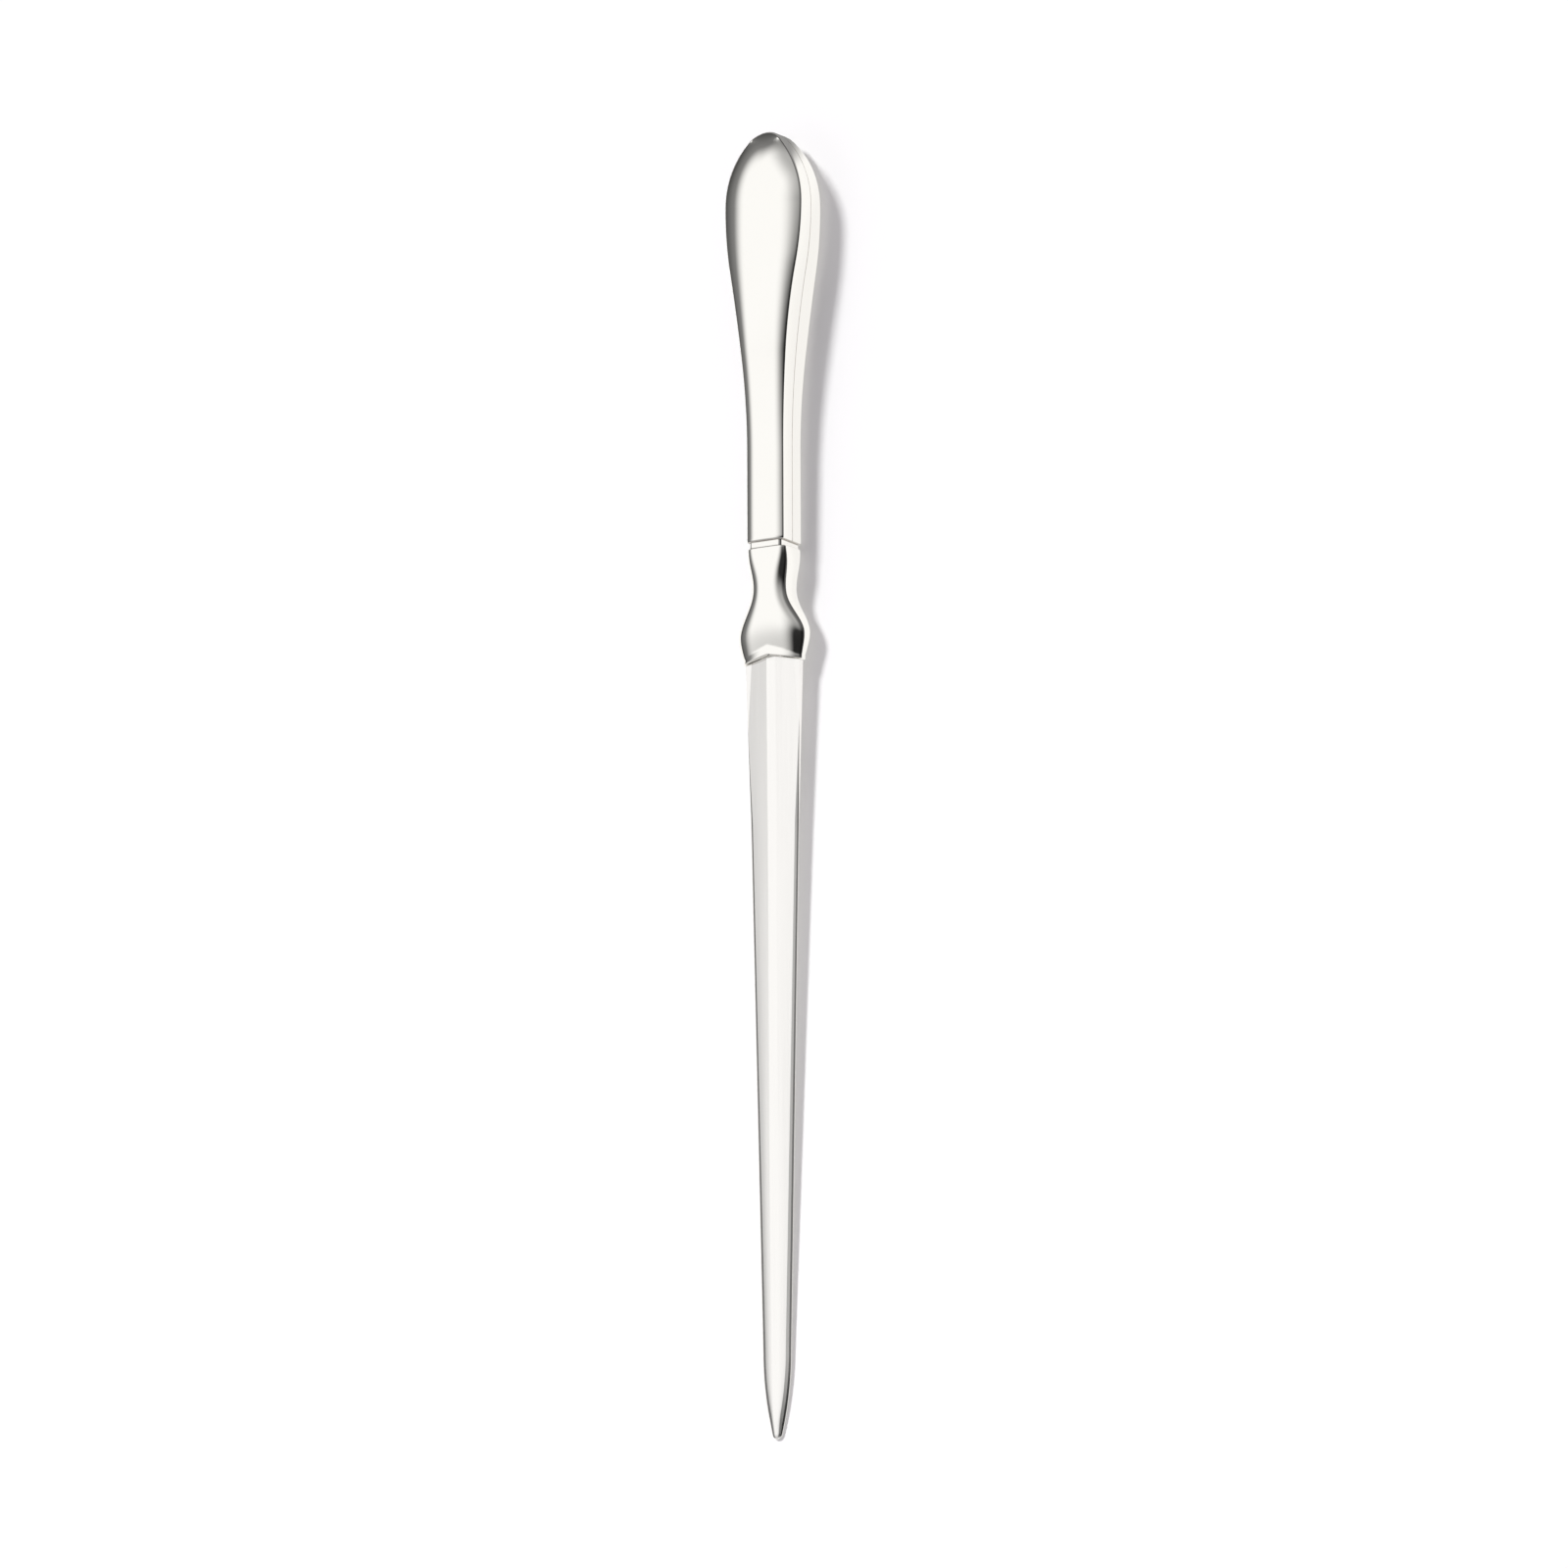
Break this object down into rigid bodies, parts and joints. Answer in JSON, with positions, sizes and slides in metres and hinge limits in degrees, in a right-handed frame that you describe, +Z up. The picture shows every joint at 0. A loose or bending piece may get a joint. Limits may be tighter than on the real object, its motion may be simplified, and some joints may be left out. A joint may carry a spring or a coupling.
{
  "type": "letter opener",
  "caption": "Letter opener with a polished hollow handle that swells to a rounded end, a flared bolster and a tapered satin blade with a flat ridge and a rounded point.",
  "frame": {"origin": "under the middle of the opener's length and width, on the surface that its back lies on", "axes": "+Y along the opener from its point to its handle's end, +X across the blade to the right as seen from the front, +Z up, out of the front face"},
  "size_m": [0.0154, 0.2286, 0.0096],
  "materials": {
    "polished_silver": "mirror polished, warm silver colour",
    "satin_blade": "satin, brushed lengthwise",
    "solder": "dull, wiped flush",
    "cement": "matt, set cement"
  },
  "bodies": {
    "root": {"blade": "satin_blade", "bolster": "polished_silver", "blade_braze": "solder", "collar": "polished_silver", "handle_front_shell": "polished_silver", "handle_back_shell": "polished_silver", "seam_solder": "solder", "handle_core": "cement"}
  },
  "joints": []
}
